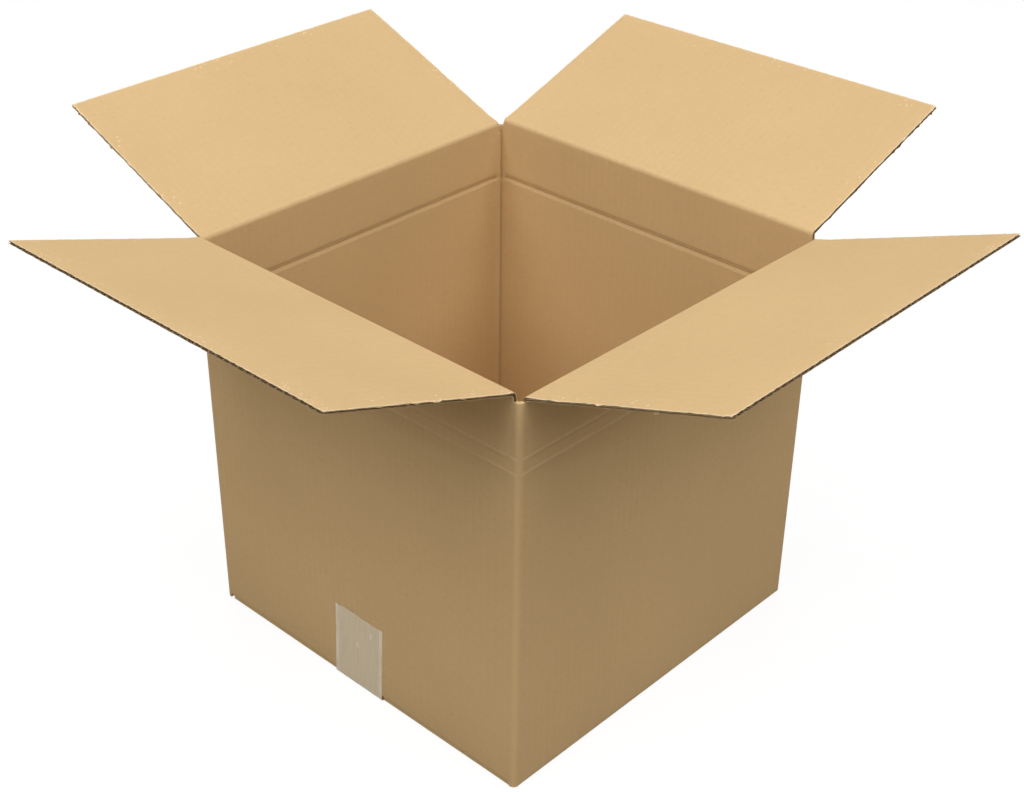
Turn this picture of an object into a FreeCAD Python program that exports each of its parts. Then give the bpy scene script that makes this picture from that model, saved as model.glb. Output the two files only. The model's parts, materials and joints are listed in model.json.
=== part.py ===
import FreeCAD
import Part
import math
import os

from FreeCAD import Placement, Rotation, Vector

# Open shipping carton folded from one sheet of single-wall corrugated board, with its bottom
# flaps closed and taped and its four top flaps standing open.
# Millimetres and degrees. The origin is the middle of the base, +Z is up. The front-left wall
# faces -X, the front-right wall -Y, the back-left wall +Y and the back-right wall +X.

# Board
board = 3.0
flute_pitch = 6.5
liner = 0.3
medium = 0.25
flute_crest = 1.3
edge_rib = 1.2

# Box, inside the walls
inside_length = 305.0
inside_width = 305.0
inside_height = 301.0

# Folds, slots and seams
corner_radius = 4.0
least_inner_radius = 0.3
slot_margin = 5.0
corner_foot = 2.0
bottom_seam = 1.0
top_seam = 1.0
bottom_ply_gap = 0.2
top_ply_gap = 0.3

# Top flaps: how far each one stands above level, swung outwards
rest_angle = {"front_left": 19.6, "front_right": 18.4, "back_left": 22.4, "back_right": 20.2}
hinge_gap = 0.25
flap_side_gap = 0.5
crushed_band = 4.0

# Second score, for folding the box down to a lower height
score_drop = 45.0
score_stop = 6.0
inner_score_width = 3.0
inner_score_depth = 0.8
outer_score_width = 2.4
outer_score_depth = 0.3
outer_score_spread = 11.0
outer_score_shift = -1.0

# Glued lap that closes the sheet into a tube
lap_width = 35.0
lap_end_gap = 12.0
lap_taper = 14.0

# Packing tape over the bottom seam
tape_width = 48.0
tape_thickness = 0.1
tape_rise = 65.0

# Derived sizes
half_length = inside_length / 2 + board
half_width = inside_width / 2 + board
inner_ply_base = board + bottom_ply_gap
floor_top = inner_ply_base + board
low_fold = floor_top + inside_height + board
high_fold = low_fold + board + top_ply_gap
score_height = low_fold - score_drop

# Each wall is drawn facing +X, then turned about Z: turn, distance of its outer face from the
# middle, half of the box along it, underside of its bottom flap, and height of its top fold
WALLS = {
    "back_right": (0.0, half_length, half_width, inner_ply_base, high_fold),
    "back_left": (90.0, half_width, half_length, 0.0, low_fold),
    "front_left": (180.0, half_length, half_width, inner_ply_base, high_fold),
    "front_right": (270.0, half_width, half_length, 0.0, low_fold),
}


def outline(points):
    """Flat face inside a closed run of straight lines and arcs.

    A point with a third point between it and the next one, given as a pair, starts an arc."""
    edges = []
    for index, (start, through) in enumerate(points):
        end = points[(index + 1) % len(points)][0]
        if through is None:
            edges.append(Part.LineSegment(start, end).toShape())
        else:
            edges.append(Part.Arc(start, through, end).toShape())
    return Part.Face(Part.Wire(edges))


def polygon(points):
    """Flat face inside a closed run of straight lines."""
    return outline([(point, None) for point in points])


def turned(shape, turn):
    """The shape turned about the box's middle axis."""
    shape.Placement = Placement(Vector(), Rotation(Vector(0, 0, 1), turn)).multiply(shape.Placement)
    return shape


def wall_and_bottom_flap(reach, along, base, fold):
    """One wall with its bottom flap folded in under it, between the slots at its two ends."""
    bend = board * (1 - math.sin(math.radians(45)))
    span = along - slot_margin
    inner = reach - board
    top = fold - hinge_gap
    seam = bottom_seam / 2

    def place(x, z):
        return Vector(x, -span, z)

    section = outline([
        (place(inner, base), place(reach - bend, base + bend)),
        (place(reach, base + board), None),
        (place(reach, top), None),
        (place(inner, top - board), None),
        (place(inner, base + board), None),
        (place(seam, base + board), None),
        (place(seam, base), None),
    ])
    return section.extrude(Vector(0, 2 * span, 0))


def groove(face_x, depth, middle, width, span):
    """Wedge that presses a score line into a wall face, along the wall."""
    section = polygon([
        Vector(face_x, -span, middle - width / 2),
        Vector(face_x + depth, -span, middle),
        Vector(face_x, -span, middle + width / 2),
    ])
    return section.extrude(Vector(0, 2 * span, 0))


def score_grooves(reach, along):
    """The second score on one wall: one groove inside, and two faint ones outside."""
    span = along - board - score_stop
    spread = outer_score_spread / 2
    middle = score_height + outer_score_shift
    inside = groove(reach - board, inner_score_depth, score_height, inner_score_width, span)
    outside = [
        groove(reach, -outer_score_depth, middle + side * spread, outer_score_width, span)
        for side in (-1, 1)
    ]
    return [inside] + outside


def corner_post(sign_x, sign_y):
    """The bend between two walls, from slot to slot."""
    bend = 1 - math.sin(math.radians(45))
    inner_radius = max(corner_radius - board, least_inner_radius)

    def place(from_x, from_y):
        return Vector(sign_x * (half_length - from_x), sign_y * (half_width - from_y), corner_foot)

    outer_bend = corner_radius * bend
    inner_bend = board + inner_radius * bend
    section = outline([
        (place(slot_margin, 0), None),
        (place(corner_radius, 0), place(outer_bend, outer_bend)),
        (place(0, corner_radius), None),
        (place(0, slot_margin), None),
        (place(board, slot_margin), None),
        (place(board, board + inner_radius), place(inner_bend, inner_bend)),
        (place(board + inner_radius, board), None),
        (place(slot_margin, board), None),
    ])
    return section.extrude(Vector(0, 0, low_fold - hinge_gap - corner_foot))


def glued_lap():
    """The tapered lap on the end of the sheet, glued inside the front-right wall."""
    turn, reach, along, base, fold = WALLS["front_right"]
    start = along - board
    end = start - lap_width
    low = floor_top + lap_end_gap
    high = fold - board - lap_end_gap
    plane = reach - 2 * board
    section = polygon([
        Vector(plane, start, low),
        Vector(plane, start, high),
        Vector(plane, end, high - lap_taper),
        Vector(plane, end, low + lap_taper),
    ])
    return turned(section.extrude(Vector(board, 0, 0)), turn)


def carton_body():
    """Four walls, their bottom flaps and the glued lap, as one folded sheet."""
    sheet = []
    grooves = []
    for turn, reach, along, base, fold in WALLS.values():
        sheet.append(turned(wall_and_bottom_flap(reach, along, base, fold), turn))
        for cutter in score_grooves(reach, along):
            grooves.append(turned(cutter, turn))
    for sign_x in (-1, 1):
        for sign_y in (-1, 1):
            sheet.append(corner_post(sign_x, sign_y))
    sheet.append(glued_lap())
    body = sheet[0].fuse(sheet[1:]).removeSplitter()

    # The tape is pressed level with the underside
    flap_span = half_length - slot_margin
    pressed = Part.makeBox(2 * flap_span, tape_width, tape_thickness, Vector(-flap_span, -tape_width / 2, 0))
    return body.cut(grooves + [pressed]).removeSplitter()


def flute_tunnels(width, start, end):
    """The open channels between the liners and the fluted medium, two for each flute."""
    height = board - 2 * liner - medium
    wide = flute_pitch - flute_crest - 2 * medium
    count = int((width - 2 * edge_rib - wide) // (flute_pitch / 2)) + 1
    first = -(count - 1) * flute_pitch / 4
    tunnels = []
    for index in range(count):
        middle = first + index * flute_pitch / 2
        low = liner if index % 2 == 0 else liner + medium
        foot, crest = (wide / 2, flute_crest / 2) if index % 2 == 0 else (flute_crest / 2, wide / 2)
        section = polygon([
            Vector(low, middle - foot, start),
            Vector(low, middle + foot, start),
            Vector(low + height, middle + crest, start),
            Vector(low + height, middle - crest, start),
        ])
        tunnels.append(section.extrude(Vector(0, 0, end - start)))
    return tunnels


def top_flap(name):
    """One top flap, drawn upright on its fold line and then swung out to where it rests."""
    turn, reach, along, base, fold = WALLS[name]
    length = reach - top_seam / 2
    half = along - slot_margin - flap_side_gap
    section = polygon([
        Vector(0, -half, hinge_gap),
        Vector(0, -half, length),
        Vector(board, -half, length),
        Vector(board, -half, hinge_gap + board),
    ])
    panel = section.extrude(Vector(0, 2 * half, 0))
    tunnels = flute_tunnels(2 * half, hinge_gap + board + crushed_band, length)
    panel = panel.cut(Part.makeCompound(tunnels))

    # Upright, the flap's inner face looks at -X: mirror the thickness, then swing and place it
    inwards = Rotation(Vector(0, 0, 1), 180)
    swing = Rotation(Vector(0, 1, 0), 90 - rest_angle[name])
    panel.Placement = Placement(Vector(reach, 0, fold), swing.multiply(inwards))
    return turned(panel, turn)


def packing_tape():
    """Clear tape under the bottom seam and a short way up the two walls that it runs to."""
    middle = half_length - slot_margin
    skin = tape_thickness
    radius = slot_margin + skin
    inner = slot_margin
    bend = math.sin(math.radians(45))

    def place(x, z):
        return Vector(x, -tape_width / 2, z)

    section = outline([
        (place(-middle, 0), None),
        (place(middle, 0), place(middle + radius * bend, radius - radius * bend)),
        (place(middle + radius, radius), None),
        (place(middle + radius, tape_rise), None),
        (place(middle + inner, tape_rise), None),
        (place(middle + inner, radius), place(middle + inner * bend, radius - inner * bend)),
        (place(middle, skin), None),
        (place(-middle, skin), place(-middle - inner * bend, radius - inner * bend)),
        (place(-middle - inner, radius), None),
        (place(-middle - inner, tape_rise), None),
        (place(-middle - radius, tape_rise), None),
        (place(-middle - radius, radius), place(-middle - radius * bend, radius - radius * bend)),
    ])
    return section.extrude(Vector(0, tape_width, 0))


def main():
    os.makedirs("parts", exist_ok=True)
    nodes = {"carton_body": carton_body(), "packing_tape": packing_tape()}
    for name in WALLS:
        nodes["top_flap_" + name] = top_flap(name)
    for name, shape in nodes.items():
        shape.exportStep("parts/" + name + ".step")
        box = shape.BoundBox
        print(name, "solids", len(shape.Solids), "valid", shape.isValid(), "volume", round(shape.Volume, 1))
        print("   from", [round(v, 2) for v in (box.XMin, box.YMin, box.ZMin)],
              "to", [round(v, 2) for v in (box.XMax, box.YMax, box.ZMax)])


main()
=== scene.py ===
# %% [markdown]
# # An open shipping carton
#
# This lesson dresses a imported model of an open cardboard carton: four walls with their closed
# bottom, four top flaps that turn on their folds, and a strip of clear tape.
# The imported model is the frame. It gives every size and every fold, and nothing here moves it.
# Each new piece is modelled where the frame says; the carton and the tape ride on the carton's body.

import json
import math
import random

import bmesh
import bpy
import numpy as np
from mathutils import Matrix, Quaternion, Vector


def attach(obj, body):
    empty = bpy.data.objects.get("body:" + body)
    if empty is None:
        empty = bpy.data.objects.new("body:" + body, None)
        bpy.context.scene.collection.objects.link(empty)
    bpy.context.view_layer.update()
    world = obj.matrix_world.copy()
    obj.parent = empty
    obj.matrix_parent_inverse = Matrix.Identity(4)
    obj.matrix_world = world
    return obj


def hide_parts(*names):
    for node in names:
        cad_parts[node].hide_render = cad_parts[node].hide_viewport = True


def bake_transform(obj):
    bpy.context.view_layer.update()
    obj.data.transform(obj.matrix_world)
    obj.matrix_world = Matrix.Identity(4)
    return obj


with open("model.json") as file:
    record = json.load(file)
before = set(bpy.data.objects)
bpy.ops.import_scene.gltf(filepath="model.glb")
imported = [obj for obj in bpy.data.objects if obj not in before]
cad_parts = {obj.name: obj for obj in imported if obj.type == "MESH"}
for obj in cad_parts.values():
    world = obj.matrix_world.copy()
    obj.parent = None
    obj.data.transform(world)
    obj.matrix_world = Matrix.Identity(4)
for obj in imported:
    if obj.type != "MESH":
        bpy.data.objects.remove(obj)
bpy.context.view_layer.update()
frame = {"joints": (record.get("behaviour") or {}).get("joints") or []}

# %% [markdown]
# ## Sizes
#
# Board is sold by its thickness and by the pitch of its flutes, so those two come first.
# What the frame already knows, such as how far out a wall stands and how high each fold is, is
# read from its joints: each flap's joint lies in its fold, on the wall's outer face.

# %% Sizes of the board and its folds
mm = 0.001
board = 3 * mm
flute_pitch = 6.5 * mm
liner = 0.28 * mm
corner_radius = 4 * mm
slot_margin = 5 * mm
flap_play = 0.5 * mm
hinge_gap = 0.25 * mm
ply_gap = 0.2 * mm
post_foot = 2 * mm
bottom_fold_radius = 3.2 * mm
top_fold_radius = 1 * mm
stub_height = 6 * mm
seam = 1 * mm
score_height = 265.2 * mm
outer_score_middle = 264.2 * mm
outer_score_spread = 11 * mm
outer_scores = [outer_score_middle + side * outer_score_spread / 2 for side in (-1, 1)]
score_stop = 9 * mm

# No flap rests quite level along its fold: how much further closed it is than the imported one, and
# then which end (1 is the right one, seen from outside) is further closed still. Both are in
# degrees, and a minus means further open
flap_twist = {"front_left": (0, -1, -1.24), "front_right": (0.7, 1, 1.1),
              "back_left": (0, -1, 1.12), "back_right": (0, 1, -0.34)}

# Its two free corners are a little off the square: how much longer and wider the board is there
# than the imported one, in millimetres, at the left and at the right end
corner_trim = {"front_left": ((-3.5, 0), (0.4, 0)), "front_right": ((0.9, 0), (3.3, 1.6)),
               "back_left": ((1.5, -4.0), (0, 0)), "back_right": ((0.6, 1.7), (0.4, 0))}

folds = {}
for joint in frame["joints"]:
    place = Vector(joint["pos_m"])
    folds[joint["child"].replace("flap_", "")] = {
        "body": joint["child"],
        "height": place.z,
        "turn": math.atan2(place.y, place.x),
        "rest": 180 - max(joint["range_deg"]),
    }
reach = max(abs(value) for value in frame["joints"][0]["pos_m"][:2])
low_fold = min(fold["height"] for fold in folds.values())
post_top = low_fold - hinge_gap
slot_line = reach - slot_margin
for name, fold in folds.items():
    fold["ply_base"] = 0.0 if fold["height"] == low_fold else board + ply_gap
    print(name, "fold at", round(fold["height"], 4), "rests", round(fold["rest"], 1), "above level")

# %% [markdown]
# ## Small helpers
#
# An operator acts on whatever is selected, so each step starts with nothing selected and then
# picks its vertices, edges or faces by where they lie or which way they face.

# %% Helpers for objects and for picking
def clear_selection():
    """Leave edit mode and deselect every object."""
    if bpy.context.object and bpy.context.object.mode != "OBJECT":
        bpy.ops.object.mode_set(mode="OBJECT")
    bpy.ops.object.select_all(action="DESELECT")


def choose(piece):
    """Make one object the only selected one."""
    clear_selection()
    piece.select_set(True)
    bpy.context.view_layer.objects.active = piece


def edit(piece):
    """Start to edit one object, with nothing picked."""
    choose(piece)
    bpy.ops.object.mode_set(mode="EDIT")
    bpy.ops.mesh.select_all(action="DESELECT")


def done():
    """Leave edit mode."""
    bpy.ops.object.mode_set(mode="OBJECT")


def pick(kind, test):
    """Select the vertices, edges or faces of the edited mesh that pass a test, and count them."""
    bpy.ops.mesh.select_mode(type=kind)
    bpy.ops.mesh.select_all(action="DESELECT")
    mesh = bmesh.from_edit_mesh(bpy.context.edit_object.data)
    items = {"VERT": mesh.verts, "EDGE": mesh.edges, "FACE": mesh.faces}[kind]
    found = 0
    for item in items:
        if not item.hide and test(item):
            item.select_set(True)
            found += 1
    mesh.select_flush_mode()
    bmesh.update_edit_mesh(bpy.context.edit_object.data)
    return found


def shift(test, move):
    """Move the vertices that pass a test."""
    pick("VERT", test)
    bpy.ops.transform.translate(value=move)


def raise_rows(test, height):
    """Push the vertices that pass a test out of their surface, and count them."""
    count = pick("VERT", test)
    bpy.ops.transform.shrink_fatten(value=height)
    return count


def extrude(move):
    """Extrude what is picked, and move the new part."""
    bpy.ops.mesh.extrude_region_move(TRANSFORM_OT_translate={"value": move})


def middle(item):
    """Middle of an edge or a face."""
    return sum((vertex.co for vertex in item.verts), Vector()) / len(item.verts)


def cut(axis, places):
    """Cut the whole edited mesh straight through at each place along X, Y or Z."""
    normal = {"x": (1, 0, 0), "y": (0, 1, 0), "z": (0, 0, 1)}[axis]
    for place in places:
        bpy.ops.mesh.select_all(action="SELECT")
        bpy.ops.mesh.bisect(plane_co=Vector(normal) * place, plane_no=normal)


# %% Helpers that finish a piece
def modify(piece, kind, **settings):
    """Add a modifier with these settings and apply it."""
    choose(piece)
    modifier = piece.modifiers.new(kind.title(), kind)
    for name, value in settings.items():
        setattr(modifier, name, value)
    bpy.ops.object.modifier_apply(modifier=modifier.name)


def settle(piece):
    """Put an object's place, turn and size into its mesh."""
    choose(piece)
    bpy.ops.object.transform_apply(location=True, rotation=True, scale=True)


def join(pieces, name):
    """Join these objects into the first one and name it."""
    choose(pieces[0])
    for piece in pieces:
        piece.select_set(True)
    bpy.ops.object.join()
    pieces[0].name = pieces[0].data.name = name
    return pieces[0]


def paint(piece, *materials):
    """Give a piece these materials, in order."""
    for material in materials:
        piece.data.materials.append(material)


def smooth(piece, degrees):
    """Shade one object smooth, apart from its edges sharper than an angle."""
    choose(piece)
    bpy.ops.object.shade_smooth_by_angle(angle=math.radians(degrees))


# %% Which way each wall faces
def outward(name):
    """The way a wall faces."""
    turn = folds[name]["turn"]
    return Vector((round(math.cos(turn)), round(math.sin(turn)), 0))


def sideways(name):
    """The way along a wall, to the right as seen from outside."""
    out = outward(name)
    return Vector((-out.y, out.x, 0))


print("walls face", {name: tuple(outward(name)) for name in folds})

# %% [markdown]
# ## Materials
#
# Kraft board looks plain from a step away, and it is the small things that make it board: paper
# fibres, soft blotches where the pulp was uneven, the flutes that show through the liner as a
# faint washboard, and paler paper where a fold or an edge is rubbed. Some of it is painted light:
# pale highlights on lips, beads, folds and cut edges, and painted shade in creases and hollows.
# Each of these is a node group, used by more than one paper. All of them read one attribute
# called blank: where a point lies on the flat sheet before it is folded, as the place round the
# box, the place up the sheet, and the depth into the board. So the pattern turns every fold with
# the paper, and it stays on a flap that swings.

# %% Helpers for shader nodes
def node(tree, kind, inputs=None, **settings):
    """Add a shader node. Each input is a value, or the output that feeds it."""
    made = tree.nodes.new("ShaderNode" + kind)
    for name, value in settings.items():
        setattr(made, name, value)
    for name, value in (inputs or {}).items():
        if isinstance(value, bpy.types.NodeSocket):
            tree.links.new(value, made.inputs[name])
        else:
            made.inputs[name].default_value = value
    return made


def calc(tree, operation, first, second=0.0, third=0.0):
    """The result of one math node."""
    made = node(tree, "Math", {0: first, 1: second, 2: third}, operation=operation)
    return made.outputs[0]


def ramp(tree, value, low, high, to_low=0.0, to_high=1.0):
    """A value that goes smoothly from to_low to to_high while the first one goes from low to high."""
    made = node(tree, "MapRange", {0: value, 1: low, 2: high, 3: to_low, 4: to_high},
                interpolation_type="SMOOTHSTEP")
    return made.outputs[0]


def stretched(tree, vector, stretch):
    """A vector stretched along its three axes."""
    return node(tree, "VectorMath", {0: vector, 1: stretch}, operation="MULTIPLY").outputs[0]


def noise(tree, vector, stretch, detail=2.0):
    """Noise on a vector that is first stretched, so that a higher number is a finer grain."""
    place = stretched(tree, vector, stretch)
    return node(tree, "TexNoise", {"Vector": place, "Scale": 1.0, "Detail": detail}).outputs[0]


def dots(tree, vector, stretch, inner, outer):
    """Scattered dots: 1 up to an inner distance from each one's middle, and 0 from an outer one."""
    place = stretched(tree, vector, stretch)
    cells = node(tree, "TexVoronoi", {"Vector": place, "Scale": 1.0})
    return ramp(tree, cells.outputs["Distance"], inner, outer, 1.0, 0.0)


# %% Helpers for colours, relief, materials and groups
def blend_colours(tree, share, first, second):
    """A colour between two, by a share from 0 to 1. Each is an output, or three plain numbers."""
    first, second = (colour if isinstance(colour, bpy.types.NodeSocket) else (*colour, 1)
                     for colour in (first, second))
    return node(tree, "Mix", {0: share, 6: first, 7: second}, data_type="RGBA").outputs[2]


def bump(tree, strength, depth, height, normal=None):
    """Small relief from a height, on top of another relief if there is one."""
    inputs = {"Strength": strength, "Distance": depth, "Height": height}
    if normal:
        inputs["Normal"] = normal
    return node(tree, "Bump", inputs).outputs[0]


def empty_material(name):
    """A new material with nothing in its node tree, and that tree."""
    material = bpy.data.materials.new(name)
    material.use_nodes = True
    material.node_tree.nodes.clear()
    return material, material.node_tree


def show(tree, shader, output="OutputMaterial"):
    """Lead a shader to the output of its material or world."""
    tree.links.new(shader.outputs[0], node(tree, output).inputs[0])


def new_group(name, inputs, outputs):
    """An empty node group with these sockets, its input node and its output node."""
    tree = bpy.data.node_groups.new(name, "ShaderNodeTree")
    for socket, kind in inputs.items():
        tree.interface.new_socket(socket, in_out="INPUT", socket_type="NodeSocket" + kind)
    for socket in outputs:
        tree.interface.new_socket(socket, in_out="OUTPUT", socket_type="NodeSocketFloat")
    return tree, tree.nodes.new("NodeGroupInput"), tree.nodes.new("NodeGroupOutput")


def use_group(tree, group, inputs):
    """Place a node group with these inputs."""
    return node(tree, "Group", inputs, node_tree=group)


# %% The paper's own pattern: blotches, mottle, fibres and flecks
paper, given, result = new_group(
    "pulp_and_fibres", {"Blank": "Vector", "Mottle": "Float", "Flecks": "Float"}, ["Shade", "Height"])
blank = given.outputs["Blank"]
blotch = noise(paper, blank, (9, 9, 60), detail=3)
mottle = noise(paper, blank, (160, 260, 900), detail=4)
fibre = noise(paper, blank, (450, 2600, 900), detail=2)
fleck = dots(paper, blank, (110, 330, 400), 0.10, 0.22)
parts = calc(paper, "MULTIPLY", calc(paper, "SUBTRACT", blotch, 0.5), 1.1)
parts = calc(paper, "MULTIPLY_ADD", calc(paper, "SUBTRACT", mottle, 0.5), 0.7, parts)
parts = calc(paper, "MULTIPLY_ADD", calc(paper, "SUBTRACT", fibre, 0.5), 0.6, parts)
shade = calc(paper, "MULTIPLY_ADD", parts, given.outputs["Mottle"], 0.5)
dark = calc(paper, "MULTIPLY", fleck, given.outputs["Flecks"])
paper.links.new(calc(paper, "SUBTRACT", shade, dark), result.inputs["Shade"])
paper.links.new(calc(paper, "MULTIPLY_ADD", fibre, 0.6, mottle), result.inputs["Height"])
print("group", paper.name, "with", len(paper.nodes), "nodes")

# %% [markdown]
# The medium's crests are glued to the liner and pull it in a little as the glue dries. The sheet
# shows that as a washboard with the pitch of the flutes, stronger in some places than in others.
# The liner also gets a faint colour ripple at that pitch, as painted shade of the washboard.

# %% Flutes that show through the liner
washboard, given, result = new_group(
    "flutes_showing", {"Blank": "Vector", "Pitch": "Float"}, ["Wave", "Strength"])
place = node(washboard, "SeparateXYZ", {0: given.outputs["Blank"]})
turns = calc(washboard, "DIVIDE", place.outputs[0], given.outputs["Pitch"])
wave = calc(washboard, "SINE", calc(washboard, "MULTIPLY", turns, 2 * math.pi))
patch = noise(washboard, given.outputs["Blank"], (14, 5, 300), detail=1)
washboard.links.new(wave, result.inputs["Wave"])
washboard.links.new(ramp(washboard, patch, 0.35, 0.7, 0.25, 1.0), result.inputs["Strength"])
print("group", washboard.name, "with", len(washboard.nodes), "nodes")

# %% [markdown]
# One attribute says how worn a spot is, up to 1, where the fibres stand up and look pale. On lips
# and beads that paleness is a painted highlight, and on folds, cut edges and outer corners it is
# partly one. Below zero it is painted shade: creases and shaded bands are darkened where shade falls
# in them. The nip attribute is above zero near a cut edge, where the machine nipped the board and
# left small pale specks. A noise breaks the pale parts up, because nothing wears evenly.

# %% Rubbed folds and edges, painted highlights and painted shade
wear_and_light_marks, given, result = new_group(
    "rubbed_paper", {"Blank": "Vector", "Rub": "Float", "Nip": "Float"}, ["Mask", "Specks", "Pressed"])
grain = noise(wear_and_light_marks, given.outputs["Blank"], (260, 520, 900), detail=3)
rub = calc(wear_and_light_marks, "MULTIPLY_ADD", calc(wear_and_light_marks, "SUBTRACT", grain, 0.5), 0.9, given.outputs["Rub"])
reached = ramp(wear_and_light_marks, rub, 0.25, 0.95)
speck = dots(wear_and_light_marks, given.outputs["Blank"], (210, 240, 260), 0.14, 0.26)
some = ramp(wear_and_light_marks, noise(wear_and_light_marks, given.outputs["Blank"], (45, 45, 90), detail=1), 0.5, 0.6)
speck = calc(wear_and_light_marks, "MULTIPLY", calc(wear_and_light_marks, "MULTIPLY", speck, some), given.outputs["Nip"])
wear_and_light_marks.links.new(calc(wear_and_light_marks, "MULTIPLY", reached, given.outputs["Rub"]), result.inputs["Mask"])
wear_and_light_marks.links.new(speck, result.inputs["Specks"])
wear_and_light_marks.links.new(ramp(wear_and_light_marks, given.outputs["Rub"], -1.0, 0.0, 1.0, 0.0), result.inputs["Pressed"])
print("group", wear_and_light_marks.name, "with", len(wear_and_light_marks.nodes), "nodes")

# %% [markdown]
# The liner is the paper that shows all over the box. The torn edges of the liner are the same
# paper with its fibres standing up, so they are paler and rougher, and their pale colour is raised
# further as a painted highlight. The medium is a weaker, browner paper. All three are made by one
# function, each with its own colours.

# %% Kraft papers
def paper_material(name, deep, pale, wear_and_highlight, mottle, flecks, roughness, washboard_shade=0.0, fibre_depth=0.05 * mm):
    """A paper that goes from a deep to a pale colour, paler where it is rubbed and where a highlight is
    painted, and darker where shade is painted.
    """
    material, tree = empty_material(name)
    blank = node(tree, "Attribute", attribute_name="blank").outputs["Vector"]
    rub = node(tree, "Attribute", attribute_name="rub").outputs["Fac"]
    nip = node(tree, "Attribute", attribute_name="nip").outputs["Fac"]
    pulp = use_group(tree, paper, {"Blank": blank, "Mottle": mottle, "Flecks": flecks})
    waves = use_group(tree, washboard, {"Blank": blank, "Pitch": flute_pitch})
    surface_marks = use_group(tree, wear_and_light_marks, {"Blank": blank, "Rub": rub, "Nip": nip})
    shown = calc(tree, "MULTIPLY", waves.outputs["Wave"], waves.outputs["Strength"])
    # Painted shade: a faint colour ripple at the flute pitch stands for light and shade on the washboard
    shade = calc(tree, "MULTIPLY_ADD", shown, washboard_shade, pulp.outputs["Shade"])
    colour = blend_colours(tree, shade, deep, pale)
    # Pale where the paper is rubbed, where it has specks, and where a highlight is painted
    pale_spots = calc(tree, "MAXIMUM", surface_marks.outputs["Mask"], surface_marks.outputs["Specks"])
    colour = blend_colours(tree, pale_spots, colour, wear_and_highlight)
    # Painted shade: below zero the attribute darkens the colour towards a deep brown, in creases and shaded
    # bands
    colour = blend_colours(tree, surface_marks.outputs["Pressed"], colour, [0.55 * part for part in deep])
    rough = ramp(tree, pulp.outputs["Shade"], 0.0, 1.0, roughness + 0.06, roughness - 0.06)
    relief = bump(tree, 0.35, fibre_depth, pulp.outputs["Height"])
    if washboard_shade:
        raised = calc(tree, "MULTIPLY_ADD", surface_marks.outputs["Specks"], 5.0, shown)
        relief = bump(tree, 0.4, 0.04 * mm, raised, relief)
    show(tree, node(tree, "BsdfPrincipled", {
        "Base Color": colour, "Roughness": rough, "Specular IOR Level": 0.15, "Normal": relief}))
    return material


kraft_liner = paper_material(
    "kraft_liner", deep=(0.565, 0.385, 0.187), pale=(0.745, 0.525, 0.270), wear_and_highlight=(0.80, 0.60, 0.36),
    mottle=0.35, flecks=0.22, roughness=0.8, washboard_shade=0.03)
# Painted highlight: the edge paper's pale colour is raised above the fibres' own paleness
paper_edge = paper_material(
    "paper_edge", deep=(0.60, 0.44, 0.24), pale=(0.88, 0.70, 0.46), wear_and_highlight=(0.90, 0.75, 0.52),
    mottle=1.2, flecks=0.1, roughness=0.92, fibre_depth=0.12 * mm)
flute_paper = paper_material(
    "flute_paper", deep=(0.26, 0.165, 0.08), pale=(0.40, 0.27, 0.135), wear_and_highlight=(0.46, 0.33, 0.18),
    mottle=0.8, flecks=0.5, roughness=0.9, fibre_depth=0.1 * mm)
flute_edge = paper_material(
    "flute_edge", deep=(0.30, 0.20, 0.10), pale=(0.50, 0.36, 0.20), wear_and_highlight=(0.56, 0.42, 0.25),
    mottle=1.2, flecks=0.2, roughness=0.92, fibre_depth=0.1 * mm)
print("papers", [m.name for m in (kraft_liner, paper_edge, flute_paper, flute_edge)])

# %% [markdown]
# The sheet's cut edges elsewhere, such as at the bottom seam, are solid in the mesh. Their
# material draws the section of the board from the same blank coordinates: two pale liners, the
# wave of the medium between them, and the hollows as painted shade. Cut along a flute, it becomes
# plain stripes.

# %% The board's section, for solid cut edges
cut_board, tree = empty_material("cut_board")
blank = node(tree, "Attribute", attribute_name="blank").outputs["Vector"]
place = node(tree, "SeparateXYZ", {0: blank})
pulp = use_group(tree, paper, {"Blank": blank, "Mottle": 1.2, "Flecks": 0.2})
turns = calc(tree, "MULTIPLY", place.outputs[0], 2 * math.pi / flute_pitch)
wave_middle = calc(tree, "MULTIPLY_ADD", calc(tree, "SINE", turns), (board - 3 * liner) / 2, board / 2)
from_wave = calc(tree, "ABSOLUTE", calc(tree, "SUBTRACT", place.outputs[2], wave_middle))
from_middle = calc(tree, "ABSOLUTE", calc(tree, "SUBTRACT", place.outputs[2], board / 2))
on_wave = ramp(tree, from_wave, 0.15 * mm, 0.3 * mm, 1.0, 0.0)
on_liner = ramp(tree, from_middle, board / 2 - 1.5 * liner, board / 2 - liner)
paper_mask = calc(tree, "MAXIMUM", on_wave, on_liner)
# The section's paper is kept darker than the liner, partly as painted shade on the shaded bottom edge
sheet_colour = blend_colours(tree, pulp.outputs["Shade"], (0.36, 0.25, 0.13), (0.60, 0.44, 0.25))
# Painted shade: the hollows between the liners and the medium are near black instead of real depth
colour = blend_colours(tree, paper_mask, (0.09, 0.055, 0.026), sheet_colour)
show(tree, node(tree, "BsdfPrincipled", {
    "Base Color": colour, "Roughness": 0.92, "Specular IOR Level": 0.2,
    "Normal": bump(tree, 0.6, 0.5 * mm, paper_mask)}))
print(cut_board.name, "with", len(tree.nodes), "nodes")

# %% [markdown]
# Packing tape is a clear film with a tan glue. It takes some of the board's colour, but greyer,
# it is glossy, and it is painted brighter along its two sides as a highlight where its edges catch the
# light.
# Fine wrinkles run along it, and a bubble or two where it wasn't pressed down.

# %% Clear packing tape
tape_width = 49.5 * mm
tape_film, tree = empty_material("tape_film")
strip = node(tree, "Attribute", attribute_name="blank").outputs["Vector"]
place = node(tree, "SeparateXYZ", {0: strip})
from_side = calc(tree, "SUBTRACT", tape_width / 2, calc(tree, "ABSOLUTE", place.outputs[0]))
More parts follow.
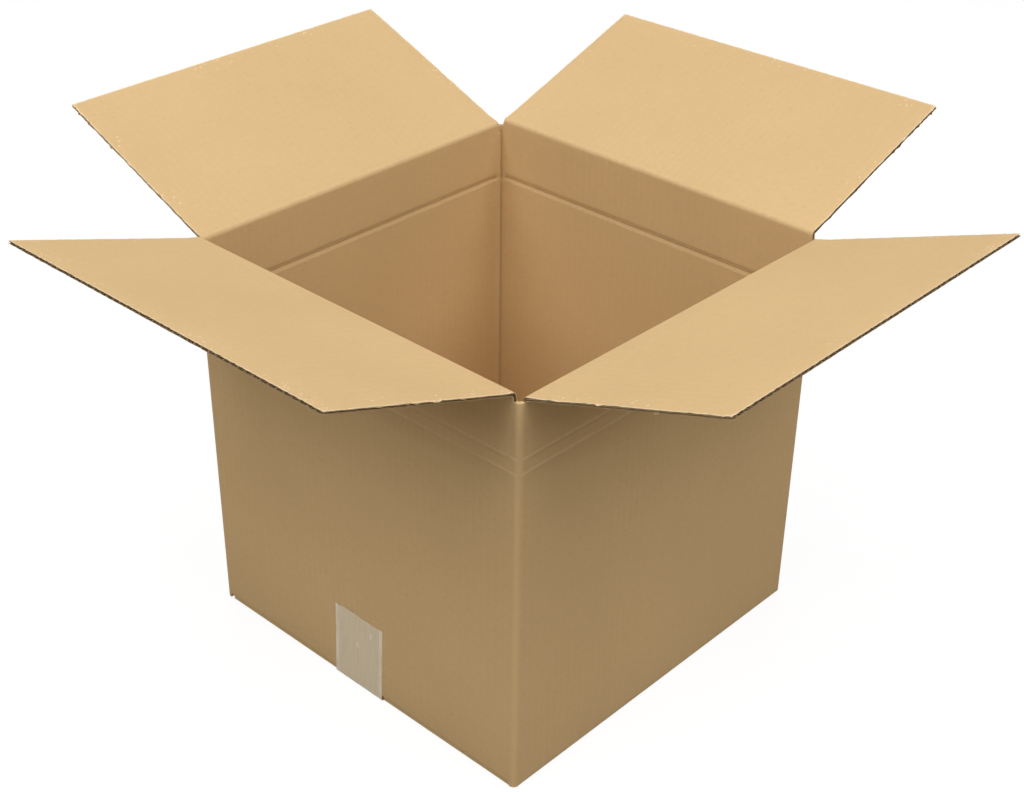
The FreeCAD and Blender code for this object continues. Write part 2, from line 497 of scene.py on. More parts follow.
# Painted highlight along the tape's two sides
side_highlight = ramp(tree, from_side, 2.6 * mm, 3.8 * mm, 1.0, 0.0)
patchy = noise(tree, strip, (60, 40, 1), detail=3)
streak = noise(tree, strip, (900, 35, 1), detail=2)
bubble = ramp(tree, noise(tree, strip, (210, 70, 1), detail=1), 0.66, 0.74)
# Air in the bubbles, and the painted highlight of the sides
air_and_highlight = calc(tree, "MAXIMUM", calc(tree, "MULTIPLY", side_highlight, ramp(tree, patchy, 0.3, 0.6, 0.35, 1.0)),
           calc(tree, "MULTIPLY", bubble, 0.8))
film_colour = blend_colours(tree, air_and_highlight, (0.93, 0.79, 0.55), (0.97, 0.86, 0.68))
alpha = calc(tree, "MULTIPLY_ADD", air_and_highlight, 0.12, ramp(tree, streak, 0.2, 0.8, 0.61, 0.68))
wrinkles = bump(tree, 0.25, 0.06 * mm, streak)
show(tree, node(tree, "BsdfPrincipled", {
    "Base Color": film_colour, "Roughness": 0.22, "IOR": 1.49, "Alpha": alpha,
    "Normal": bump(tree, 0.5, 0.3 * mm, air_and_highlight, wrinkles)}))
print(tape_film.name, "with", len(tree.nodes), "nodes")

# %% [markdown]
# ## The carton
#
# The real carton is one sheet, creased into a square tube and closed under the base.
# It could be built from four slabs, but then the corners would show seams that board doesn't
# have. So one skin is made first, as the outer face of the sheet, and Solidify gives the whole
# sheet its thickness at once.

# %% A square tube with rounded corners
clear_selection()
bpy.ops.mesh.primitive_cube_add(size=1, location=(0, 0, (post_foot + post_top) / 2))
carton = bpy.context.object
carton.scale = (2 * reach, 2 * reach, post_top - post_foot)
settle(carton)
edit(carton)
pick("FACE", lambda face: abs(face.normal.z) > 0.9)
bpy.ops.mesh.delete(type="ONLY_FACE")
pick("EDGE", lambda edge: abs((edge.verts[0].co - edge.verts[1].co).z) > board)
bpy.ops.mesh.bevel(offset=corner_radius, segments=6, profile=0.5, affect="EDGES")
print("tube faces", len(bmesh.from_edit_mesh(carton.data).faces))

# %% [markdown]
# The walls end a little below their folds, where the flap pieces take over, and two of them are
# one board thickness taller. At the corners a narrow post runs right up between the slots.

# %% Slots, wall tops and score lines
# Rows of a score line: millimetres above its middle, and how far out of the face each one lies
groove = {-4.6: 0.02, -3.2: 0.15, -1.9: 0.08, -0.9: -0.5, 0: -1.0, 1.1: -0.78, 2.6: -0.36, 4.2: -0.06}
bead = {-2.4: -0.1, -1.2: -0.12, 0: 0.22, 1.2: 0.14, 2.4: 0}
score_rows = [score_height + offset * mm for offset in groove]
outer_rows = [line + offset * mm for line in outer_scores for offset in bead]
wall_tops = {name: fold["height"] - stub_height for name, fold in folds.items()}
bends = {name: fold["ply_base"] + bottom_fold_radius for name, fold in folds.items()}
spare_rows = [25 * mm * step for step in range(1, 10)] + [238 * mm, 290 * mm]
heights = set(score_rows + outer_rows + list(wall_tops.values()) + list(bends.values()) + spare_rows)
cut("z", sorted(heights))
columns = [slot_line, slot_line - 1.6 * mm, reach - score_stop, reach - score_stop - 4 * mm]
columns += [20 * mm * step for step in range(7)]
for axis in ("x", "y"):
    cut(axis, sorted({side * column for side in (-1, 1) for column in columns}))


def on_wall(name, point, margin=0.0):
    """Whether a point lies on one wall's strip between the slots."""
    along = abs(point.dot(sideways(name)))
    return point.dot(outward(name)) > reach - mm and along < slot_line + margin


for name in folds:
    pick("FACE", lambda face: on_wall(name, middle(face)) and (
        middle(face).z > wall_tops[name] or middle(face).z < bends[name]))
    bpy.ops.mesh.delete(type="FACE")
done()
print("sheet faces", len(carton.data.polygons))

# %% [markdown]
# The bottom flaps are bent in by a quarter turn and run to the middle, where they meet with a
# narrow seam. Two of them lie outside, and the other two rest on top of those.

# %% Bottom flaps
ply_reach = 3 * mm
edit(carton)
for name, fold in folds.items():
    low = bends[name]
    pick("EDGE", lambda edge: all(
        abs(vertex.co.z - low) < 0.01 * mm and on_wall(name, vertex.co, 0.1 * mm) for vertex in edge.verts))
    bpy.ops.mesh.spin(
        steps=5, angle=math.radians(90), axis=-sideways(name),
        center=outward(name) * (reach - bottom_fold_radius) + Vector((0, 0, low)))
    length = reach - bottom_fold_radius - seam / 2
    for share in (0.02, 0.14, 0.28, 0.28, 0.28):
        extrude(outward(name) * -length * share)
bpy.ops.mesh.select_all(action="SELECT")
bpy.ops.mesh.remove_doubles(threshold=0.01 * mm)
bpy.ops.mesh.normals_make_consistent(inside=False)

# The two lower flaps are cut wider past the corners, so their edges show under the other walls
for side in (-1, 1):
    shift(lambda vertex: (
        vertex.co.z < 0.1 * mm and vertex.co.x * side > slot_line - 0.1 * mm
        and abs(vertex.co.y) < reach - 6 * mm), (side * ply_reach, 0, 0))
done()
print("with bottom flaps", len(carton.data.polygons), "lowest",
      round(min(vertex.co.z for vertex in carton.data.vertices), 4))

# %% [markdown]
# Board is never quite flat. Each wall gets a few shallow swells, pushed with proportional
# editing, far below the depth of a dent. Then the sheet gets its thickness, inwards.

# %% Swells in the walls, and the board's thickness
def nudge(spot, move, size):
    """Push the vertex nearest to a spot, and drag the surface around it along."""
    mesh = bmesh.from_edit_mesh(bpy.context.edit_object.data)
    nearest = min(mesh.verts, key=lambda vertex: (vertex.co - spot).length)
    target = nearest.co.copy()
    pick("VERT", lambda vertex: (vertex.co - target).length < 0.001 * mm)
    bpy.ops.transform.translate(
        value=move, use_proportional_edit=True, proportional_edit_falloff="SMOOTH",
        proportional_size=size)


# Where each wall's swells lie, in millimetres along it and above the floor
swells = ((-70, 190), (60, 150), (-10, 110), (90, 215))
random.seed(4)
edit(carton)
for name in folds:
    for along, height in swells:
        spot = outward(name) * reach + sideways(name) * along * mm + Vector((0, 0, height * mm))
        nudge(spot, outward(name) * random.uniform(-0.7, 0.5) * mm, random.uniform(55, 75) * mm)
done()
modify(carton, "SOLIDIFY", thickness=board, offset=-1, use_even_offset=True, use_rim=True,
       material_offset_rim=1)
print("sheet with thickness", len(carton.data.polygons), "faces")

# %% [markdown]
# The second score is a crease for folding the carton down to a lower height. A wheel pressed it
# from the inside, so it is a groove there, with a raised lip below it. Outside, the board swells
# in two faint beads. The rows of vertices are already there, so each one is only moved.

# %% The second score, inside and outside
def ring(vertex, height, inside):
    """Whether a vertex lies on a wall at this height, clear of the corners, inside or outside."""
    far, near = sorted((abs(vertex.co.x), abs(vertex.co.y)), reverse=True)
    on_face = abs(far - (reach - board if inside else reach)) < mm
    return on_face and near < reach - score_stop + 0.1 * mm and abs(vertex.co.z - height) < 0.05 * mm


edit(carton)
for offset, depth in groove.items():
    count = raise_rows(lambda vertex: ring(vertex, score_height + offset * mm, True), depth * mm)
for line in outer_scores:
    for offset, depth in bead.items():
        raise_rows(lambda vertex: ring(vertex, line + offset * mm, False), depth * mm)
print("vertices in a groove row", count)

# %% [markdown]
# Where two walls meet, the inner liner is squeezed in the crease and swells into a soft bead.
# The crease was rolled from one side of the corner, so the bead lies on one wall only.

# %% Beads beside the inner corners
def beside_corner(vertex, line):
    """Whether a vertex lies inside, at the left end of its wall, on this line along it."""
    for name in folds:
        inside = abs(vertex.co.dot(outward(name)) - (reach - board)) < 0.3 * mm
        if inside and abs(vertex.co.dot(sideways(name)) + line) < 0.1 * mm:
            return 8 * mm < vertex.co.z < post_top - mm
    return False


for line, rise in ((slot_line, 1.0 * mm), (slot_line - 1.6 * mm, 0.55 * mm)):
    print("bead vertices", raise_rows(lambda vertex: beside_corner(vertex, line), rise))
done()

# %% [markdown]
# The tube is closed by a lap, glued inside one wall. Its ends are cut at a slant, so that it
# never catches on the bottom flaps.

# %% The glued lap
lap_width = 35 * mm
lap_low = 18.2 * mm
lap_high = 295.2 * mm
lap_taper = 14 * mm
lap_end = reach - board - lap_width
clear_selection()
bpy.ops.mesh.primitive_cube_add(
    size=1, location=((reach - board + lap_end) / 2, 1.5 * board - reach, (lap_low + lap_high) / 2))
lap = bpy.context.object
lap.scale = (lap_width, board, lap_high - lap_low)
settle(lap)
edit(lap)
for low, slant in ((True, lap_taper), (False, -lap_taper)):
    shift(lambda vertex: vertex.co.x < lap_end + mm and (vertex.co.z < lap_high / 2) == low, (0, 0, slant))
pick("EDGE", lambda edge: middle(edge).y > 1.9 * board - reach and middle(edge).x < reach - 2 * board)
bpy.ops.mesh.bevel(offset=0.5 * mm, segments=2, affect="EDGES")
done()
print("lap faces", len(lap.data.polygons))

# %% [markdown]
# ## The top flaps
#
# A flap's free edge shows what board is made of: two liners with a wave of paper between them.
# A solid slab with a picture of flutes on its edge would look flat as soon as light falls into
# it. So the two liners and the wave are thin sheets here, and the hollows between them are real.
# Each flap is drawn on the top few millimetres of its wall, bent over the fold, and run out.

# %% One wave of the medium
wave_height = board - 3 * liner
wave_slope = math.radians(45)
wave_radius = (flute_pitch / 2 - wave_height) / (2 * (math.sin(wave_slope) + math.cos(wave_slope) - 1))
flank = (wave_height - 2 * wave_radius * (1 - math.cos(wave_slope))) / math.sin(wave_slope)
print("crest radius", round(wave_radius / mm, 2), "flank", round(flank / mm, 2), "mm")


def bend(steps, degrees, center, axis):
    """Extrude the picked edges round an axis, by the right-hand rule."""
    bpy.ops.mesh.spin(steps=steps, angle=-math.radians(degrees), center=center, axis=axis)


def upright_strip(x, height, base, width, rows, columns):
    """A flat sheet that stands on its edge and faces +X."""
    clear_selection()
    bpy.ops.mesh.primitive_grid_add(
        x_subdivisions=rows, y_subdivisions=columns, size=1,
        location=(x, 0, base + height / 2), rotation=(0, math.radians(90), 0))
    strip = bpy.context.object
    strip.scale = (height, width, 1)
    settle(strip)
    return strip


def medium_strip(height, base, phase):
    """The fluted paper inside a wall's top: one wave bent, then repeated."""
    low = reach - 1.5 * liner
    start = -slot_line - phase
    wave = upright_strip(low, height, base, 2 * mm, 5, 1)
    edit(wave)
    pick("VERT", lambda vertex: vertex.co.y > 0)
    bpy.ops.mesh.delete(type="VERT")
    shift(lambda vertex: True, (0, start + mm, 0))
    up = (0, 0, 1)
    turn = math.degrees(wave_slope)
    bend(2, turn, (low - wave_radius, start, base), up)
    extrude((-flank * math.sin(wave_slope), flank * math.cos(wave_slope), 0))
    high = low - wave_height
    bend(4, -2 * turn, (high + wave_radius, start + flute_pitch / 2, base), up)
    extrude((flank * math.sin(wave_slope), flank * math.cos(wave_slope), 0))
    bend(2, turn, (low - wave_radius, start + flute_pitch, base), up)
    done()
    count = math.ceil(2 * reach / flute_pitch) + 1
    modify(wave, "ARRAY", count=count, use_relative_offset=False, use_constant_offset=True,
           constant_offset_displace=(0, flute_pitch, 0), use_merge_vertices=True,
           merge_threshold=0.02 * mm)
    edit(wave)
    for side in (-1, 1):
        bpy.ops.mesh.select_all(action="SELECT")
        bpy.ops.mesh.bisect(plane_co=(0, side * slot_line, 0), plane_no=(0, side, 0), clear_outer=True)
    done()
    return wave

# %% [markdown]
# The three sheets are bent over the fold together and run out to the flap's free edge. The rows
# are close together at the fold, where the flap turns later on, and near the free edge, which is
# ragged. The sides are drawn in a little, so that a flap clears the slots beside it.

# %% Liners and medium, bent into a flap
# Steps out from the fold, and the last ones before the free edge. One between them takes the rest
flap_rows = [1 * mm, 1 * mm, 1.2 * mm, 2.5 * mm, 6 * mm] + [18 * mm] * 6 + [14 * mm, 9 * mm]
edge_rows = [2.2 * mm, 1.4 * mm, 0.8 * mm]
burrs = 14


def flap_length(fold):
    """Where the fold's bend begins below the joint, and how long the flat flap is."""
    start = top_fold_radius * math.tan(math.radians(90 - fold["rest"]) / 2)
    return start, reach - seam / 2 - start


def tear_edges(way, end, pivot, seed):
    """Divide a flap's side and free edges finely, and move them as a blunt knife would."""
    out = pivot.x + 5 * mm
    side_line = slot_line - 1.2 * mm

    def run(vertex):
        return (vertex.co - pivot).dot(way)

    pick("EDGE", lambda edge: edge.calc_length() > 3 * mm and all(
        abs(vertex.co.y) > side_line and vertex.co.x > out for vertex in edge.verts))
    bpy.ops.mesh.subdivide(number_cuts=4)
    pick("EDGE", lambda edge: edge.calc_length() > 2 * mm and all(
        run(vertex) > end - 0.9 * mm for vertex in edge.verts))
    bpy.ops.mesh.subdivide(number_cuts=2)
    pick("VERT", lambda vertex: abs(vertex.co.y) > slot_line - 0.7 * mm and vertex.co.x > out)
    bpy.ops.transform.vertex_random(offset=0.45 * mm, seed=seed)
    pick("VERT", lambda vertex: run(vertex) > end - 0.5 * mm)
    bpy.ops.transform.vertex_random(offset=0.25 * mm, seed=seed + 1)

    # A few burrs of liner stand out of the sides, and hang down a little
    random.seed(seed)
    for _ in range(burrs):
        side = random.choice((-1, 1))
        far_out = random.uniform(0.06, 0.97) * end
        edge = [vertex for vertex in bmesh.from_edit_mesh(bpy.context.edit_object.data).verts
                if vertex.co.y * side > slot_line - 1.1 * mm and vertex.co.x > out]
        place = min(edge, key=lambda vertex: abs(run(vertex) - far_out)).co.copy()
        burr = (0, side * random.uniform(0.3, 1.1) * mm, -random.uniform(0.2, 1.4) * mm)
        shift(lambda vertex: (vertex.co - place).length < 0.01 * mm, burr)


def flap_sheets(name, phase, seed):
    """One flap in the frame of a wall that faces +X, at the angle at which it rests."""
    fold = folds[name]
    start, length = flap_length(fold)
    base = fold["height"] - stub_height
    height = stub_height - start
    sheets = []
    for x in (reach - liner / 2, reach - board + liner / 2):
        sheet = upright_strip(x, height, base, 2 * slot_line, 5, 46)
        edit(sheet)
        cut("y", [side * (slot_line - place * mm) for side in (-1, 1) for place in (1, 2.5, 4.5)])
        done()
        paint(sheet, kraft_liner, paper_edge)
        sheets.append(sheet)
    medium = medium_strip(height, base, phase)
    paint(medium, flute_paper, flute_edge)
    flap = join(sheets + [medium], "flap_board_" + name)
    edit(flap)
    top = fold["height"] - start
    pick("EDGE", lambda edge: all(vertex.co.z > top - 0.01 * mm for vertex in edge.verts))
    bend(7, 90 - fold["rest"], (reach + top_fold_radius, 0, top), (0, 1, 0))
    rest = math.radians(fold["rest"])
    way = Vector((math.cos(rest), 0, math.sin(rest)))
    left = length - sum(flap_rows + edge_rows)
    for step in flap_rows + [left] + edge_rows:
        extrude(way * step)
    for side in (-1, 1):
        shift(lambda vertex: vertex.co.y * side > slot_line - 0.01 * mm and vertex.co.z > top,
              (0, -side * flap_play, 0))
    tear_edges(way, length + start, Vector((reach, 0, fold["height"])), seed)
    done()
    modify(flap, "SOLIDIFY", thickness=liner, offset=0, use_rim=True, material_offset_rim=1)
    return flap


print("a flap's rows", len(flap_rows) + len(edge_rows) + 1)

# %% [markdown]
# Every piece of the sheet now gets its place on the flat blank, and how rubbed it is, with its
# painted highlights and painted shade. Round the box, a wall's place is its number times its width,
# plus the distance along it.

# %% Blank coordinates of the carton
WALL_ORDER = ["back_right", "back_left", "front_left", "front_right"]


def mark(piece, blank, rub, nip=None):
    """Store the attributes that the papers read, one value for each vertex."""
    place = piece.data.attributes.new("blank", "FLOAT_VECTOR", "POINT")
    place.data.foreach_set("vector", np.asarray(blank, np.float32).ravel())
    for name, values in (("rub", rub), ("nip", np.zeros(len(rub)) if nip is None else nip)):
        surface_marks = piece.data.attributes.new(name, "FLOAT", "POINT")
        surface_marks.data.foreach_set("value", np.asarray(values, np.float32).ravel())


def points(piece):
    """The vertices of a piece, one row each."""
    co = np.zeros(len(piece.data.vertices) * 3)
    piece.data.vertices.foreach_get("co", co)
    return co.reshape(-1, 3)


def near(distance, width):
    """1 on a line, and smoothly down to 0 at a width from it."""
    share = np.clip(1 - np.abs(distance) / width, 0, 1)
    return share * share * (3 - 2 * share)


def blank_of_body(co):
    """Blank coordinates of the carton's vertices."""
    x, y, z = co.T
    under = (np.maximum(abs(x), abs(y)) < reach - 1.2 * board) & (z < 6.4 * mm)
    facing_x = np.where(under, z > 1.02 * board, abs(x) >= abs(y))
    out = np.where(facing_x, abs(x), abs(y))
    wall = np.where(facing_x, np.where(x > 0, 0, 2), np.where(y > 0, 1, 3))
    along = np.select([wall == 0, wall == 1, wall == 2], [y, -x, -y], x)
    base = np.where(facing_x, board + ply_gap, 0.0)
    up = np.where(under, base - (reach - out), z)
    depth = np.where(under, z - base, reach - out)
    return np.stack([wall * 2 * reach + along, up, depth], 1)


clear_selection()
for sheet in (carton, lap):
    paint(sheet, kraft_liner, cut_board)
for face in lap.data.polygons:
    face.material_index = 0 if abs(face.normal.y) > 0.9 else 1
carton = join([carton, lap], "carton_board")
print(carton.name, len(carton.data.vertices), "vertices")

# %% [markdown]
# Handling rubs the outer corners and the foot, so they are paler, and the outer corners are partly
# a painted highlight too. The lips and beads beside the creases are painted pale as a highlight
# where they catch the light, and the creases themselves and the bands under the beads are painted
# dark as shade. Each of them is a line on the sheet, so its mark is worked out from how far a
# vertex lies from that line.

# %% Wear, painted highlights and painted shade of the carton
co = points(carton)
x, y, z = co.T
far = np.maximum(abs(x), abs(y))
close = np.minimum(abs(x), abs(y))
# Partly rubbing, partly a painted highlight on the rounded outer corners
corner_wear_and_highlight = 0.5 * near(reach - close, 5 * mm) * near(reach - far, 2.5 * mm)
foot = 0.5 * near(z, 7 * mm) * near(reach - far, 3 * mm)
# Painted highlights on the lip below the inner score and on the outer beads, where they catch the light
lip_highlight = 0.6 * near(z - (score_height - 2.6 * mm), 2.6 * mm) * near(reach - board - far, mm)
bead_highlight = sum(near(z - (line + 0.6 * mm), 2 * mm) for line in outer_scores) * 0.9 * near(reach - far, mm)
post_ends = 0.3 * near(z - post_top, 5 * mm) * near(reach - close, 6 * mm)
underside = 0.55 * (z < 0.3 * mm) * (far < reach - 2 * mm)
wear_and_highlight = np.max([corner_wear_and_highlight, foot, lip_highlight, bead_highlight, post_ends, underside], 0)

# Painted shade: the upper flank of the second score, the bands under the beads, and each inner corner's
# crease
on_inside = near(reach - board - far, 1.3 * mm)
clear_of_corner = close < reach - score_stop + mm
score_shade = 0.55 * near(z - (score_height + 1.7 * mm), 4.6 * mm) * on_inside * clear_of_corner
shade_under_beads = sum(near(z - (line - 1.8 * mm), 2.2 * mm) for line in outer_scores)
shade_under_beads = shade_under_beads * 0.22 * near(reach - far, mm) * clear_of_corner
corner_crease_shade = np.zeros(len(co))
for name in folds:
    out, along = co @ np.array(outward(name)), co @ np.array(sideways(name))
    # Painted highlight on the bead beside each inner corner, and painted shade in the crease at its other
    # end
    corner_bead_highlight = (abs(out - (reach - board)) < 1.3 * mm) * near(along + slot_line - 0.9 * mm, 1.9 * mm)
    wear_and_highlight = np.maximum(wear_and_highlight, 0.6 * corner_bead_highlight)
    corner_crease_shade = np.maximum(corner_crease_shade, (out > reach - board - 1.3 * mm) * (out < reach - 1.5 * mm) * near(
        along - (slot_line + 1.2 * mm), 3.2 * mm))
painted_crease_shade = np.max([score_shade, shade_under_beads, 0.3 * corner_crease_shade * (z > 4 * mm)], 0)
mark(carton, blank_of_body(co), np.where(painted_crease_shade > wear_and_highlight, -painted_crease_shade, wear_and_highlight))
smooth(carton, 32)
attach(carton, "carton")
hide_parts("carton_body")
print(carton.name, len(carton.data.polygons), "faces, rides on the carton")

# %% [markdown]
# A flap is drawn already bent, so its place on the blank is measured along the bend: first up the
# wall, then round the fold, and then along the flap.

# %% Blank coordinates, wear and painted light of a flap
def blank_of_flap(co, name):
    """Blank coordinates of a flap's vertices, in the frame of a wall that faces +X."""
    fold = folds[name]
    start, length = flap_length(fold)
    rest = math.radians(fold["rest"])
    sweep = math.pi / 2 - rest
    right = co[:, 0] - (reach + top_fold_radius)
    up = co[:, 2] - (fold["height"] - start)
    angle = np.arctan2(up, -right)
    on_wall = angle <= 0
    flat = angle >= sweep
    run = right * math.cos(rest) + up * math.sin(rest)
    over = -right * math.sin(rest) + up * math.cos(rest)
    arc = top_fold_radius + board / 2
    along = np.select([on_wall, flat], [up, sweep * arc + run], angle * arc)
    depth = np.select([on_wall, flat], [-right, over], np.hypot(right, up)) - top_fold_radius
    index = WALL_ORDER.index(name)
    return np.stack([index * 2 * reach + co[:, 1], fold["height"] + along, depth], 1)


def flap_edges(blank, name):
    """How far each vertex of a flap is past the fold, from the free edge and from the sides."""
    fold = folds[name]
    past = blank[:, 1] - fold["height"]
    arc = (math.pi / 2 - math.radians(fold["rest"])) * (top_fold_radius + board / 2)
    along = blank[:, 0] - WALL_ORDER.index(name) * 2 * reach
    return past, flap_length(fold)[1] + arc - past, slot_line - flap_play - abs(along)


def flap_wear_and_light(blank, name):
    """How rubbed a flap is, most at its cut edges and free corners, and where it has specks, with a painted
    highlight on its cut edges and fold and painted shade on the lower liner's edges.
    """
    past, from_end, from_side = flap_edges(blank, name)
    # Partly wear of the fold, partly a painted highlight on its rounding
    fold_wear_and_highlight = near(past - 2 * mm, 4.5 * mm) * (0.2 + 0.25 * (blank[:, 2] > board / 2))
    # Partly frayed fibres, partly a painted highlight along the cut edges
    cut_edge_wear_and_highlight = np.minimum(near(from_end, 2.2 * mm) + near(from_side, 2.2 * mm) * (past > 4 * mm), 1)
    corners = 0.8 * near(from_end, 9 * mm) * near(from_side, 9 * mm)
    # Painted shade on the lower liner's cut edges, which lie in shade
    under = np.where(past > 4 * mm, -0.8 * near(np.minimum(from_end, from_side), 1.8 * mm), 0)
    rub = np.where(blank[:, 2] > board / 2, np.max([fold_wear_and_highlight, cut_edge_wear_and_highlight, corners], 0), under)
    specks = np.maximum(near(from_end, 17 * mm), near(from_side, 15 * mm)) * (past > 8 * mm)
    return rub, np.minimum(2 * specks, 1)


def pressed_edges(co, blank, name):
    """Nip a flap's cut edges together, and set its two free corners where the real ones are."""
    past, from_end, from_side = flap_edges(blank, name)
    rest = math.radians(folds[name]["rest"])
    way = np.array([math.cos(rest), 0, math.sin(rest)])
    over = np.array([-math.sin(rest), 0, math.cos(rest)])
    nip = np.maximum(0.30 * near(from_end, 7 * mm), 0.34 * near(from_side, 6 * mm))
    nip = nip * np.clip(past / (9 * mm) - 0.4, 0, 1)
    co = co + np.outer((1.1 * mm - blank[:, 2]) * nip, over)
    share = np.clip(past / (past + from_end), 0, 1)
    right = np.clip(co[:, 1] / (2 * slot_line) + 0.5, 0, 1)
    (left_long, left_wide), (right_long, right_wide) = corner_trim[name]
    longer = (left_long * (1 - right) + right_long * right) * share * mm
    wider = (right_wide * right - left_wide * (1 - right)) * share * mm
    return co + np.outer(longer, way) + np.outer(wider, (0, 1, 0))


print("flap lengths", {name: round(flap_length(fold)[1], 4) for name, fold in folds.items()})

# %% [markdown]
# The flaps are finished the same way. Each is then twisted by about a degree, as the real ones
# are, and turned to its wall.

# %% The four flaps
# Where the first flute of each flap begins, in millimetres before its left end
phases = {"front_left": 2.1, "front_right": 4.4, "back_left": 0.9, "back_right": 5.3}
flaps = {}
for seed, (name, fold) in enumerate(folds.items()):
    flap = flap_sheets(name, phases[name] * mm, 10 * seed + 3)
    co = points(flap)
    blank = blank_of_flap(co, name)
    mark(flap, blank, *flap_wear_and_light(blank, name))
    flap.data.vertices.foreach_set("co", pressed_edges(co, blank, name).ravel())
    edit(flap)
    pick("VERT", lambda vertex: vertex.co.x < reach + mm)
    bpy.ops.mesh.hide(unselected=False)
    end = slot_line - flap_play
    whole, side, twist = flap_twist[name]
    bpy.ops.mesh.select_all(action="SELECT")
    bpy.ops.transform.rotate(
        value=math.radians(whole), orient_axis="Y", center_override=(reach, 0, fold["height"]))
    pick("VERT", lambda vertex: vertex.co.y * side > end - 1.4 * mm)
    bpy.ops.transform.rotate(
        value=math.radians(twist), orient_axis="Y", center_override=(reach, 0, fold["height"]),
        use_proportional_edit=True, proportional_edit_falloff="LINEAR", proportional_size=2 * end)
    bpy.ops.mesh.reveal()
    bpy.ops.mesh.select_all(action="SELECT")
    bpy.ops.transform.rotate(value=-fold["turn"], orient_axis="Z", center_override=(0, 0, 0))
    done()
    smooth(flap, 40)
    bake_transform(flap)
    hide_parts("top_flap_" + name)
    flaps[name] = flap
    print(flap.name, len(flap.data.polygons), "faces, top at", round(max(points(flap)[:, 2]), 4))

# %% [markdown]
# ## The tape
#
# One strip of clear film lies over the bottom seam and climbs a wall at each end. It is drawn as
# the film's own path: flat under the base, round the bottom fold, and up the wall. The cutter's
# teeth leave its two ends serrated.

# %% The strip of tape
tape_gap = 0.05 * mm
tape_rise = 67.5 * mm
tape_lean = 0.05
tape_bend = 1.7 * mm
tape_turn = reach + tape_gap - tape_bend
clear_selection()
bpy.ops.mesh.primitive_grid_add(
    x_subdivisions=24, y_subdivisions=48, size=1, location=(0, 0, -tape_gap))
tape = bpy.context.object
tape.scale = (2 * tape_turn, tape_width, 1)
settle(tape)
edit(tape)
bpy.ops.mesh.select_all(action="SELECT")
bpy.ops.mesh.flip_normals()
for side in (-1, 1):
    pick("EDGE", lambda edge: all(abs(vertex.co.x - side * tape_turn) < 0.01 * mm for vertex in edge.verts))
    bend(6, -side * 90, (side * tape_turn, 0, tape_bend - tape_gap), (0, 1, 0))
    for step in [6 * mm] * 9 + [tape_rise - tape_bend - 54 * mm - mm, 1 * mm]:
        extrude((0, 0, step))
print("tape top", round(max(v.co.z for v in bmesh.from_edit_mesh(tape.data).verts), 4))

# %% [markdown]
# The strip was laid on a little askew, so both of its ends lean. Solidify then gives it the
# thickness of a film.

# %% Serrated ends, lean and thickness of the film
def at_tape_end(vertex, side):
    """Whether a vertex lies on the cut end of the film, on one of the two walls."""
    return vertex.co.x * side > slot_line and vertex.co.z > tape_rise - 0.2 * mm


def lean(co):
    """How far each vertex of the tape is moved sideways by its lean."""
    upright = abs(co[:, 0]) > tape_turn
    return np.sign(co[:, 0]) * np.where(upright, (co[:, 2] - tape_rise / 2) * tape_lean, 0)


random.seed(11)
for side in (-1, 1):
    shift(lambda vertex: at_tape_end(vertex, side) and round(vertex.co.y / mm) % 2 == 0, (0, 0, -1.1 * mm))
    pick("VERT", lambda vertex: vertex.co.x * side > slot_line and vertex.co.z > tape_rise - 1.2 * mm)
    bpy.ops.transform.vertex_random(offset=0.25 * mm, seed=5 + side)
    for across in (-17, -4, 9, 20):
        spot = Vector((side * (reach + tape_gap), across * mm, tape_rise))
        nudge(spot, (0, 0, random.uniform(-1.6, 0.2) * mm), 9 * mm)
done()
co = points(tape)
co[:, 1] += lean(co)
co[:, 0] = np.where(co[:, 2] > 8 * mm, np.sign(co[:, 0]) * (reach + tape_gap), co[:, 0])
tape.data.vertices.foreach_set("co", co.ravel())
tape.name = tape.data.name = "bottom_tape"
modify(tape, "SOLIDIFY", thickness=0.05 * mm, offset=1)
paint(tape, tape_film)
co = points(tape)
path = np.sign(co[:, 0]) * (np.minimum(abs(co[:, 0]), tape_turn) + np.maximum(co[:, 2], 0))
across = co[:, 1] - lean(co)
strip = np.stack([across, path, np.zeros(len(co))], 1)
mark(tape, strip, near(tape_width / 2 - abs(across), 3 * mm))
smooth(tape, 40)
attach(tape, "carton")
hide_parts("packing_tape")
print(tape.name, len(tape.data.polygons), "faces, top at", round(max(co[:, 2]), 4))

# %% [markdown]
# ## The stage
#
# A plain pale floor and a soft light from above, as in a catalogue picture. The camera sees the
# floor as white, apart from the carton's shadow. The board sees it as the plain warm grey that it is,
# because a glowing floor would light the walls from below.

# %% Floor
def seen_by_eye(tree):
    """1 for what the camera sees, straight, mirrored or through glass, and 0 for what gives light."""
    paths = node(tree, "LightPath").outputs
    indirect = calc(tree, "MAXIMUM", paths["Is Glossy Ray"], paths["Is Transmission Ray"])
    return calc(tree, "MAXIMUM", paths["Is Camera Ray"], indirect)


floor_drop = 0.2 * mm
clear_selection()
bpy.ops.mesh.primitive_plane_add(size=12, location=(0, 0, -floor_drop))
floor = bpy.context.object
floor.name = "studio_floor"
settle(floor)
floor_paint, tree = empty_material("floor_paint")
matt = node(tree, "BsdfDiffuse", {"Color": (0.34, 0.31, 0.27, 1)})
lit = node(tree, "BsdfDiffuse", {"Color": (0.14, 0.14, 0.14, 1)})
white = node(tree, "Emission", {"Color": (1, 1, 1, 1), "Strength": 0.9})
shown = node(tree, "AddShader", {0: white.outputs[0], 1: lit.outputs[0]})
show(tree, node(tree, "MixShader", {0: seen_by_eye(tree), 1: matt.outputs[0], 2: shown.outputs[0]}))
paint(floor, floor_paint)
print(floor.name, round(floor_drop / mm, 1), "mm below the carton")

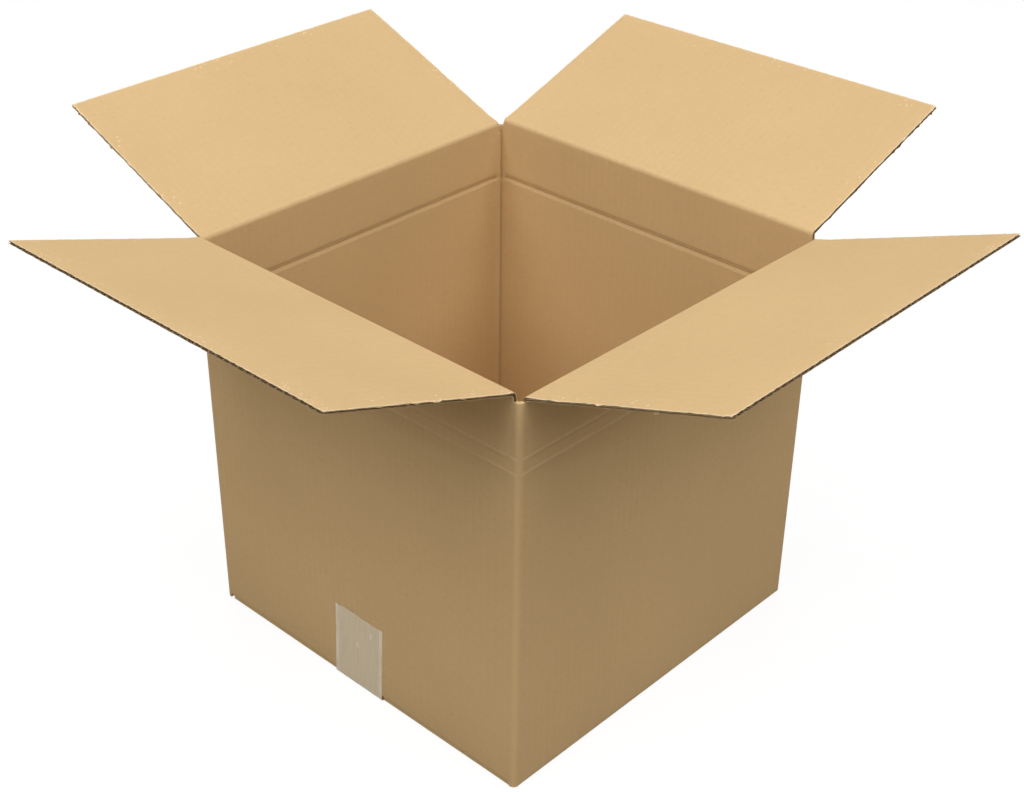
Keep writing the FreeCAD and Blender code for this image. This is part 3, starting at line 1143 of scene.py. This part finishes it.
# %% World and lamps
world = bpy.data.worlds.new("studio_world")
bpy.context.scene.world = world
world.use_nodes = True
tree = world.node_tree
tree.nodes.clear()
room = node(tree, "Background", {"Color": (1, 1, 1, 1), "Strength": 0.09})
backdrop = node(tree, "Background", {"Color": (1, 1, 1, 1), "Strength": 1.0})
mixed = node(tree, "MixShader", {0: seen_by_eye(tree), 1: room.outputs[0], 2: backdrop.outputs[0]})
show(tree, mixed, "OutputWorld")


def softbox(name, place, aim, size, power):
    """A square white lamp at a place, turned towards a point."""
    lamp = bpy.data.lights.new(name, "AREA")
    lamp.shape = "SQUARE"
    lamp.size = size
    lamp.energy = power
    holder = bpy.data.objects.new(name, lamp)
    holder.location = place
    holder.rotation_euler = (Vector(aim) - Vector(place)).to_track_quat("-Z", "Y").to_euler()
    bpy.context.scene.collection.objects.link(holder)


softbox("left_softbox", (-1.95, 0.1, 2.1), (0, 0, 0.2), 1.6, 38)
softbox("right_softbox", (0.1, -1.95, 2.05), (0, 0, 0.2), 1.6, 33)
softbox("front_softbox", (-1.1, -1.1, 2.2), (0, 0, 0.2), 1.7, 6)
softbox("back_softbox", (0.95, 0.95, 2.3), (0, 0, 0.3), 2.0, 28)

# %% [markdown]
# ## The camera
#
# The place, the aim and the focal length come from fitting a camera to the carton's corners: it
# stands in front of the corner between the two front walls, and looks down by 31 degrees.

# %% Camera
camera_place = (-0.7820, -0.7309, 0.8305)
camera_aim = Vector((0.62714, 0.58244, -0.51717))
camera_roll = math.radians(0.741)
clear_selection()
lens = bpy.data.cameras.new("catalogue_camera")
lens.lens = 59.37
lens.sensor_width = 36
camera = bpy.data.objects.new("catalogue_camera", lens)
camera.location = camera_place
camera.rotation_mode = "QUATERNION"
camera.rotation_quaternion = camera_aim.to_track_quat("-Z", "Y") @ Quaternion((0, 0, 1), camera_roll)
bpy.context.scene.collection.objects.link(camera)
bpy.context.scene.camera = camera
bpy.context.scene.view_settings.view_transform = "Standard"
print(camera.name, "looks down by", round(math.degrees(math.asin(-camera_aim.z)), 1), "degrees")
